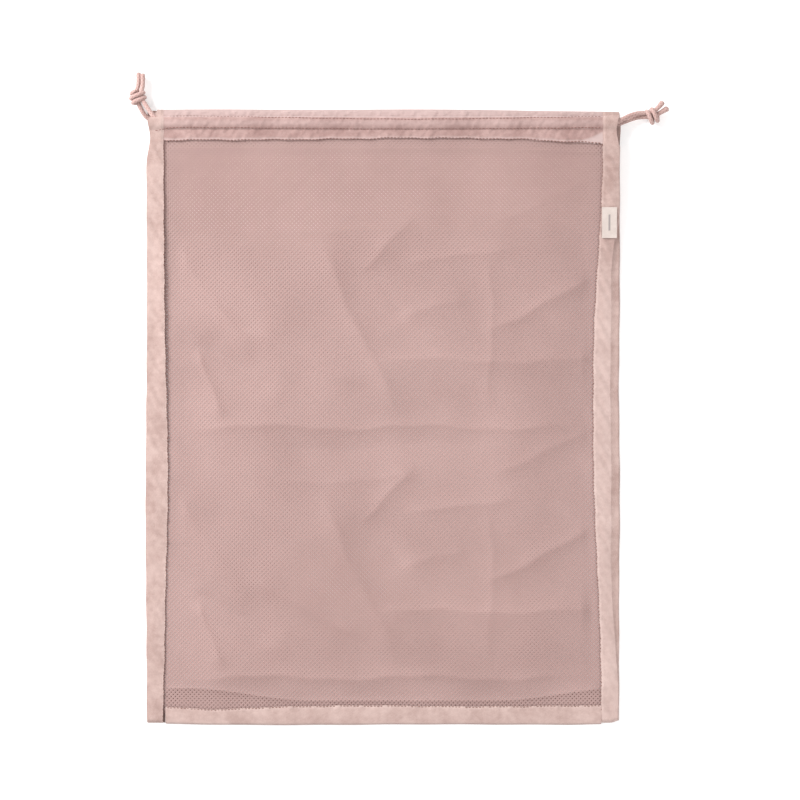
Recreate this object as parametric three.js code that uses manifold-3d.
// A mesh laundry bag with a double drawstring mouth, lying flat on its back.
//
// Units are millimetres. X runs across the bag, +Y points to the mouth and +Z points up from the
// surface that the bag lies on. The origin is under the middle of the bag.
//
// Two mesh panels are bound together along both sides and the bottom by folded tape. Each panel's
// top edge is sewn into a cloth casing, and a tunnel runs along each casing. Two drawcords run
// through both tunnels: each is a loop that comes back out at its own side, where its two ends are
// knotted together, and it turns round at the opposite side.
import * as THREE from 'three';
import Module from 'manifold-3d';
import { mergeVertices } from 'three/addons/utils/BufferGeometryUtils.js';

const wasm = await Module();
wasm.setup();

// ---- Driving dimensions ----
const bagWidth = 460;
const bagLength = 600;
const clothThickness = 0.5; // tape, casing and label cloth
const meshThickness = 0.8; // knitted mesh
const gap = 0.3; // clearance between neighbouring pieces
const sideTapeWidth = 17.5; // width of the folded side tape, seen from above
const bottomTapeWidth = 12.5;
const casingHeight = 30; // along Y
const casingEnd = 215.5; // half the length of a casing: the side tape covers its ends
const headerThickness = 1.3; // doubled cloth above the tunnel
const cordDiameter = 4;
const mouthGap = 5.2; // clear height between the two casings
const loft = 12; // how far the front mesh stands above its edge in the middle of the bag

// ---- Derived places ----
const halfWidth = bagWidth / 2;
const halfLength = bagLength / 2;
const cordRadius = cordDiameter / 2;
const tapeInner = halfWidth - sideTapeWidth; // inner edge of a side tape, as |x|
const backPanelZ = clothThickness + gap; // underside of the back mesh
const frontPanelZ = backPanelZ + meshThickness + gap; // underside of the front mesh at its edge
const upperLeafZ = frontPanelZ + meshThickness + gap; // underside of a tape's upper leaf
const panelEdgeX = halfWidth - clothThickness - gap;
const panelBottomY = -halfLength + clothThickness + gap;

// The tunnel is a flat oval that holds two cords side by side.
const strandOffset = cordRadius + gap / 2; // from the tunnel's middle to each cord
const tunnelInner = cordRadius + 0.25; // radius of the oval's round ends
const tunnelOuter = tunnelInner + clothThickness;
const casingY = halfLength - casingHeight; // lower edge of the casings
const tunnelY = 287.5;
const tunnelZ = clothThickness + tunnelInner; // above a casing's underside
const casingTop = tunnelZ + tunnelOuter;
const mouthLift = casingTop + mouthGap; // from the back casing up to the front casing
const slotDepth = 11.8; // how far a mesh edge's slot reaches into a casing
const panelTopY = casingY + slotDepth - gap;
const slotTop = backPanelZ + meshThickness + gap; // underside of a casing's upper leaf
const casingLeafTop = slotTop + clothThickness;

// The front mesh and the tapes climb towards the mouth, from climbStart to climbEnd.
const climbStart = 100;
const climbEnd = 265;
const climb = mouthLift + backPanelZ - frontPanelZ;

const leftStrandY = tunnelY + strandOffset;
const rightStrandY = tunnelY - strandOffset;
const backStrandZ = tunnelZ;
const frontStrandZ = mouthLift + tunnelZ;

// ---- Materials ----
function cloth(color, roughness) {
  return new THREE.MeshStandardMaterial({ color, roughness, metalness: 0 });
}

const meshNet = cloth(0xcba9a3, 0.85);
const cottonTape = cloth(0xe0c3bb, 0.9);
const casingCloth = cloth(0xcfaca5, 0.9);
const braidedCord = cloth(0xd9bab3, 0.75);
const sewingThread = cloth(0xc09a92, 0.7);
const labelCloth = cloth(0xf0e6de, 0.8);

const group = new THREE.Group();

function addPiece(name, geometry, material) {
  const piece = new THREE.Mesh(geometry, material);
  piece.name = name;
  group.add(piece);
}

// ---- Shape helpers ----
// Goes smoothly from 0 to 1 as t goes from 0 to 1, and is flat beyond both ends.
function smooth(t) {
  const c = Math.min(Math.max(t, 0), 1);
  return c * c * (3 - 2 * c);
}

function mouthRise(y) {
  return smooth((y - climbStart) / (climbEnd - climbStart));
}

// Turns a geometry into a solid that can be joined to another.
function toSolid(geometry) {
  const bare = geometry.clone();
  bare.deleteAttribute('normal');
  bare.deleteAttribute('uv');
  const merged = mergeVertices(bare, 1e-4);
  const vertProperties = new Float32Array(merged.attributes.position.array);
  const triVerts = new Uint32Array(merged.index.array);
  return new wasm.Manifold(new wasm.Mesh({ numProp: 3, vertProperties, triVerts }));
}

function join(...geometries) {
  const [first, ...rest] = geometries.map(toSolid);
  const mesh = rest.reduce((sum, solid) => sum.add(solid), first).getMesh();
  const joined = new THREE.BufferGeometry();
  joined.setAttribute('position', new THREE.BufferAttribute(mesh.vertProperties, 3));
  joined.setIndex(new THREE.BufferAttribute(mesh.triVerts, 1));
  return joined;
}

// A (y, z) outline, swept along X from x0 to x1.
function sweepX(outline, x0, x1, hole) {
  const shape = new THREE.Shape(outline);
  if (hole) shape.holes.push(new THREE.Path(hole));
  const geometry = new THREE.ExtrudeGeometry(shape, { depth: x1 - x0, bevelEnabled: false });
  const y = new THREE.Vector3(0, 1, 0);
  const z = new THREE.Vector3(0, 0, 1);
  const x = new THREE.Vector3(1, 0, 0);
  geometry.applyMatrix4(new THREE.Matrix4().makeBasis(y, z, x));
  geometry.translate(x0, 0, 0);
  return geometry;
}

// An (x, z) outline, swept along Y from y0 to y1 in equal steps.
function sweepY(outline, y0, y1, steps) {
  const options = { depth: y1 - y0, bevelEnabled: false, steps };
  const geometry = new THREE.ExtrudeGeometry(new THREE.Shape(outline), options);
  geometry.rotateX(Math.PI / 2);
  geometry.translate(0, y1, 0);
  return geometry;
}

// An (x, y) outline raised from z0 to z1.
function plate(outline, z0, z1) {
  const shape = new THREE.Shape(outline);
  const geometry = new THREE.ExtrudeGeometry(shape, { depth: z1 - z0, bevelEnabled: false });
  geometry.translate(0, 0, z0);
  return geometry;
}

function points(...pairs) {
  return pairs.map(([a, b]) => new THREE.Vector2(a, b));
}

function rectangle(a0, b0, a1, b1) {
  return points([a0, b0], [a1, b0], [a1, b1], [a0, b1]);
}

// The closed outline of a cloth of the given thickness, lying on a line of (y, z) points.
function clothOutline(line, thickness) {
  const upper = line.map((p, i) => {
    const before = line[Math.max(i - 1, 0)];
    const after = line[Math.min(i + 1, line.length - 1)];
    const a = p.clone().sub(before);
    const b = after.clone().sub(p);
    const first = a.length() ? a.normalize() : b.clone().normalize();
    const second = b.length() ? b.normalize() : first.clone();
    const normal = new THREE.Vector2(-first.y - second.y, first.x + second.x);
    const mitre = thickness / (1 + first.dot(second));
    return p.clone().addScaledVector(normal, mitre);
  });
  return [...line, ...upper.reverse()];
}

function arc(centreY, centreZ, radius, fromDegrees, toDegrees, steps) {
  return Array.from({ length: steps + 1 }, (_, i) => {
    const turn = fromDegrees + ((toDegrees - fromDegrees) * i) / steps;
    const angle = THREE.MathUtils.degToRad(turn);
    const y = centreY + radius * Math.cos(angle);
    return new THREE.Vector2(y, centreZ + radius * Math.sin(angle));
  });
}

// A cord: an eight-sided tube of the given radius along a smooth curve through the places.
function cord(places, radius, steps) {
  const section = new THREE.Shape(arc(0, 0, radius, 0, 315, 7));
  const path = new THREE.CatmullRomCurve3(places.map((p) => new THREE.Vector3(...p)), false, 'centripetal');
  return new THREE.ExtrudeGeometry(section, { steps, bevelEnabled: false, extrudePath: path });
}

// ---- Mesh panels ----
function panelGeometry(undersideZ, acrossSegments, alongSegments) {
  const length = panelTopY - panelBottomY;
  const sizes = [2 * panelEdgeX, length, meshThickness, acrossSegments, alongSegments, 1];
  const geometry = new THREE.BoxGeometry(...sizes);
  geometry.translate(0, panelBottomY + length / 2, undersideZ + meshThickness / 2);
  return geometry;
}

// The front mesh stands up in a low dome and climbs to the front casing at the mouth.
function frontPanel() {
  const domeStartX = tapeInner - 6;
  const sideSlope = 40;
  const bottomSlope = 50;
  const domeStartY = -280;
  const geometry = panelGeometry(frontPanelZ, 22, 28);
  const position = geometry.attributes.position;
  for (let i = 0; i < position.count; i++) {
    const x = position.getX(i);
    const y = position.getY(i);
    const rise = mouthRise(y);
    const fromSide = smooth((domeStartX - Math.abs(x)) / sideSlope);
    const fromBottom = smooth((y - domeStartY) / bottomSlope);
    const lift = loft * fromSide * fromBottom * (1 - rise) + climb * rise;
    position.setZ(i, position.getZ(i) + lift);
  }
  return geometry;
}

addPiece('back_mesh_panel', panelGeometry(backPanelZ, 1, 1), meshNet);
addPiece('front_mesh_panel', frontPanel(), meshNet);

// ---- Casings ----
// Flat underneath, with a slot for the mesh edge, the tunnel, and a header above the tunnel.
function casing(undersideZ) {
  const nearEnd = tunnelY - strandOffset;
  const farEnd = tunnelY + strandOffset;
  const headerTurn = THREE.MathUtils.radToDeg(Math.asin((headerThickness - tunnelZ) / tunnelOuter));
  const leafTurn = THREE.MathUtils.radToDeg(Math.asin((tunnelZ - casingLeafTop) / tunnelOuter));
  const outline = [
    ...points([casingY, 0], [halfLength, 0], [halfLength, headerThickness]),
    ...arc(farEnd, tunnelZ, tunnelOuter, headerTurn, 90, 6),
    ...arc(nearEnd, tunnelZ, tunnelOuter, 90, 180 + leafTurn, 5),
    ...points([casingY, casingLeafTop], [casingY, slotTop]),
    ...points([casingY + slotDepth, slotTop], [casingY + slotDepth, clothThickness]),
    ...points([casingY, clothThickness]),
  ];
  const tunnel = [
    ...arc(farEnd, tunnelZ, tunnelInner, -90, 90, 8),
    ...arc(nearEnd, tunnelZ, tunnelInner, 90, 270, 8),
  ];
  return sweepX(outline, -casingEnd, casingEnd, tunnel).translate(0, 0, undersideZ);
}

addPiece('back_casing', casing(0), casingCloth);
addPiece('front_casing', casing(mouthLift), casingCloth);

// ---- Side tapes ----
// Each is folded round both mesh edges. At the mouth its upper leaf runs on over the end of the
// front casing, its lower leaf runs on beside the back casing, and the side stays open for cords.
const tapeTopZ = mouthLift + casingLeafTop + gap; // underside of the tape on the casing's leaf
const tapeFoldY = casingY - gap; // where the fold ends
const extraRise = tapeTopZ - upperLeafZ - climb;

function tapeUnderside(y) {
  return upperLeafZ + climb * mouthRise(y) + extraRise * smooth((y - 255) / (tapeFoldY - 255));
}

function foldedTape(side) {
  const x = (distance) => side * distance;
  const spine = halfWidth - clothThickness;
  const top = upperLeafZ + clothThickness;
  const outline = points(
    [x(tapeInner), 0], [x(halfWidth), 0], [x(halfWidth), top], [x(tapeInner), top],
    [x(tapeInner), upperLeafZ], [x(spine), upperLeafZ], [x(spine), clothThickness],
    [x(tapeInner), clothThickness],
  );
  const geometry = sweepY(outline, -halfLength, tapeFoldY, 30);
  const position = geometry.attributes.position;
  for (let i = 0; i < position.count; i++) {
    if (position.getZ(i) > clothThickness + gap) {
      const rise = tapeUnderside(position.getY(i)) - upperLeafZ;
      position.setZ(i, position.getZ(i) + rise);
    }
  }
  return geometry;
}

// The part of the upper leaf that covers the end of the front casing, its tunnel and its header.
// outline is its (x, y) shape from above.
function casingCover(outline) {
  const crownZ = mouthLift + casingTop + gap;
  const headerZ = mouthLift + headerThickness + gap;
  const line = points(
    [tapeFoldY - 1, tapeTopZ], [tunnelY - 6, tapeTopZ], [tunnelY - 4.2, crownZ],
    [tunnelY + 9, crownZ], [tunnelY + 10.6, headerZ], [halfLength, headerZ],
  );
  const strip = sweepX(clothOutline(line, clothThickness), -halfWidth, halfWidth);
  return toSolid(strip).intersect(toSolid(plate(outline, 0, crownZ + 10)));
}

function sideTape(side, coverOutline) {
  const lowerLeaf = rectangle(side * (casingEnd + gap), tapeFoldY - 1, side * halfWidth, halfLength);
  const cover = casingCover(coverOutline).getMesh();
  const coverGeometry = new THREE.BufferGeometry();
  coverGeometry.setAttribute('position', new THREE.BufferAttribute(cover.vertProperties, 3));
  coverGeometry.setIndex(new THREE.BufferAttribute(cover.triVerts, 1));
  return join(foldedTape(side), coverGeometry, plate(lowerLeaf, 0, clothThickness));
}

// The left cover's corner is turned in, where the cords come out upwards; the right one is square.
const leftCover = points(
  [-tapeInner, tapeFoldY - 1], [-tapeInner, halfLength], [-219.5, halfLength],
  [-halfWidth, tunnelY], [-halfWidth, tapeFoldY - 1],
);
const rightCover = rectangle(tapeInner, tapeFoldY - 1, halfWidth, halfLength);
addPiece('left_side_tape', sideTape(-1, leftCover), cottonTape);
addPiece('right_side_tape', sideTape(1, rightCover), cottonTape);

// ---- Bottom tape ----
function bottomTape() {
  const outer = -halfLength;
  const inner = outer + bottomTapeWidth;
  const spine = outer + clothThickness;
  const top = upperLeafZ + clothThickness;
  const outline = points(
    [outer, 0], [inner, 0], [inner, clothThickness], [spine, clothThickness],
    [spine, upperLeafZ], [inner, upperLeafZ], [inner, top], [outer, top],
  );
  return sweepX(outline, -tapeInner + gap, tapeInner - gap);
}

addPiece('bottom_tape', bottomTape(), cottonTape);

// ---- Label, sewn flat on the right tape ----
const labelX = [213.8, 228.3];
const labelY = [174.8, 204.6];

// A line of (y, z) points on top of a side tape's upper leaf.
function onSideTape(y0, y1, steps) {
  return Array.from({ length: steps + 1 }, (_, i) => {
    const y = y0 + ((y1 - y0) * i) / steps;
    return new THREE.Vector2(y, tapeUnderside(y) + clothThickness + gap);
  });
}

const labelOutline = clothOutline(onSideTape(...labelY, 4), clothThickness);
addPiece('woven_label', sweepX(labelOutline, ...labelX), labelCloth);

// ---- Rows of stitching, each a thin raised line of thread ----
const threadWidth = 0.6;
const threadHeight = 0.4;

for (const [name, side] of [['left', -1], ['right', 1]]) {
  const line = clothOutline(onSideTape(-halfLength + 2, tapeFoldY - 2, 28), threadHeight);
  const middle = side * (tapeInner + 0.65);
  const geometry = sweepX(line, middle - threadWidth / 2, middle + threadWidth / 2);
  addPiece(`${name}_tape_stitching`, geometry, sewingThread);
}

function straightStitching(y, z) {
  const outline = rectangle(y, z + gap, y + threadWidth, z + gap + threadHeight);
  const end = tapeInner - 0.6;
  return sweepX(outline, -end, end);
}

const bottomTapeTop = upperLeafZ + clothThickness;
const bottomRowY = -halfLength + bottomTapeWidth - 2;
addPiece('bottom_tape_stitching', straightStitching(bottomRowY, bottomTapeTop), sewingThread);

for (const [name, z] of [['back', 0], ['front', mouthLift]]) {
  const rows = {
    tunnel_upper: straightStitching(tunnelY + 5.4, z + headerThickness),
    tunnel_lower: straightStitching(tunnelY - 6.2, z + casingLeafTop),
    casing_hem: straightStitching(casingY + 1.2, z + casingLeafTop),
  };
  for (const [row, geometry] of Object.entries(rows)) {
    addPiece(`${name}_${row}_stitching`, geometry, sewingThread);
  }
}

// ---- Drawcords ----
const runEnd = casingEnd; // a run fills its tunnel
const endStart = runEnd + gap; // where the free end or the turn begins

function straightRun(y, z) {
  return cord([[-runEnd, y, z], [0, y, z], [runEnd, y, z]], cordRadius, 2);
}

// A half circle that takes a cord from one tunnel to the other at the side of the mouth.
function cordTurn(side, y) {
  const radius = (frontStrandZ - backStrandZ) / 2;
  const middleZ = (frontStrandZ + backStrandZ) / 2;
  const places = Array.from({ length: 13 }, (_, i) => {
    const angle = (Math.PI * i) / 12 - Math.PI / 2;
    const x = endStart + radius * Math.cos(angle);
    return [side * x, y, middleZ + radius * Math.sin(angle)];
  });
  return cord(places, cordRadius, 12);
}

// A knot is a rounded lump with its own half sizes along X, Y and Z.
function knotGeometry(knot) {
  const geometry = new THREE.SphereGeometry(1, 14, 10);
  geometry.scale(...knot.half);
  geometry.translate(...knot.centre);
  return geometry;
}

// The place just outside a knot, in the given direction from its centre.
function besideKnot(knot, direction) {
  const d = new THREE.Vector3(...direction).normalize();
  const [a, b, c] = knot.half;
  const reach = 1 / Math.hypot(d.x / a, d.y / b, d.z / c);
  return new THREE.Vector3(...knot.centre).addScaledVector(d, reach + knotGap).toArray();
}

const knotGap = 0.8; // keeps a slanting cord end clear of its knot
const leftKnot = { centre: [-238, 312, 7], half: [8.2, 8.2, 6.4] };
const rightKnot = { centre: [261, 294.3, 7], half: [7.4, 9.2, 6.4] };

const drawcords = [
  {
    side: 'left',
    knot: leftKnot,
    strandY: leftStrandY,
    turnSide: 1,
    frontEnd: [
      [-endStart, leftStrandY, frontStrandZ], [-219.6, 290.2, 13.3], [-223.4, 293, 12.9],
      [-226.4, 297.2, 12], [-229.4, 301.6, 10.8],
      besideKnot(leftKnot, [0.72, -0.86, 0.3]),
    ],
    backEnd: [
      [-endStart, leftStrandY, backStrandZ], [-222.6, 289.6, 2.9], [-228.4, 291.2, 3.2],
      [-232.6, 295, 3.9], [-235.4, 299.8, 4.9],
      besideKnot(leftKnot, [0.1, -1, -0.2]),
    ],
    frontTail: [
      besideKnot(leftKnot, [0.5, 1, 0.2]), [-233.6, 327, 7.6], [-233.9, 333.8, 6.8],
    ],
    backTail: [
      besideKnot(leftKnot, [-0.1, 1, -0.05]), [-238.5, 328, 5.6], [-238.3, 335.6, 5],
    ],
  },
  {
    side: 'right',
    knot: rightKnot,
    strandY: rightStrandY,
    turnSide: -1,
    frontEnd: [
      [endStart, rightStrandY, frontStrandZ], [221, 285.7, 13.3], [227.4, 287.4, 12.9],
      [233.6, 290.8, 12], [240.4, 294, 10.8], [247.2, 295.9, 9.6],
      besideKnot(rightKnot, [-1, 0.22, 0.22]),
    ],
    backEnd: [
      [endStart, rightStrandY, backStrandZ], [221.4, 285.2, 2.9], [228, 285.8, 3.1],
      [234.8, 287.8, 3.5], [241.4, 290, 4.1], [247.6, 291.6, 4.8],
      besideKnot(rightKnot, [-1, -0.22, -0.2]),
    ],
    frontTail: [
      besideKnot(rightKnot, [0.68, 0.85, 0.15]), [269.2, 304.4, 7.6], [271.8, 307.6, 7],
    ],
    backTail: [
      besideKnot(rightKnot, [1, 0.32, -0.1]), [272.8, 299, 5.6], [277, 301.4, 5],
    ],
  },
];

for (const drawcord of drawcords) {
  const { side, knot, strandY, turnSide } = drawcord;
  const name = (piece) => `${side}_cord_${piece}`;
  addPiece(name('front_run'), straightRun(strandY, frontStrandZ), braidedCord);
  addPiece(name('back_run'), straightRun(strandY, backStrandZ), braidedCord);
  addPiece(name('turn'), cordTurn(turnSide, strandY), braidedCord);
  addPiece(name('front_end'), cord(drawcord.frontEnd, cordRadius, 8), braidedCord);
  addPiece(name('back_end'), cord(drawcord.backEnd, cordRadius, 8), braidedCord);
  addPiece(name('knot'), knotGeometry(knot), braidedCord);
  addPiece(name('front_tail'), cord(drawcord.frontTail, cordRadius, 3), braidedCord);
  addPiece(name('back_tail'), cord(drawcord.backTail, cordRadius, 3), braidedCord);
}

export default group;
